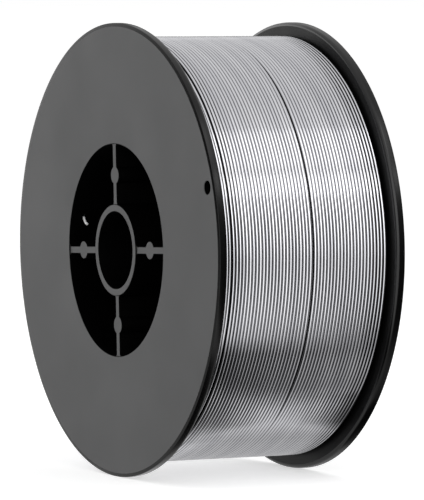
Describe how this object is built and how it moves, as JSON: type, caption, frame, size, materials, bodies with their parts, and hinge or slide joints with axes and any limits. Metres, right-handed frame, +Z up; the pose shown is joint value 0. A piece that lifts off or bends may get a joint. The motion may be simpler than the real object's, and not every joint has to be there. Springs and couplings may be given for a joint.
{
  "type": "mig welding wire spool",
  "caption": "Black moulded plastic spool with round flanges and an open ribbed hub, wound full of thin bare silver welding wire.",
  "frame": {"origin": "middle of the spindle bore, halfway between the flanges", "axes": "+Y along the spindle bore, from the near flange to the far flange; +Z up, with the spool standing on its rims; +X across"},
  "size_m": [0.1, 0.045, 0.1],
  "materials": {
    "black_plastic": "fine matt mould texture on the flanges, smoother on the rims and inside the hub",
    "bare_wire": "bright drawn wire with fine lines along it"
  },
  "bodies": {
    "root": {"spool": "black_plastic", "wire_coil": "bare_wire"}
  },
  "joints": []
}
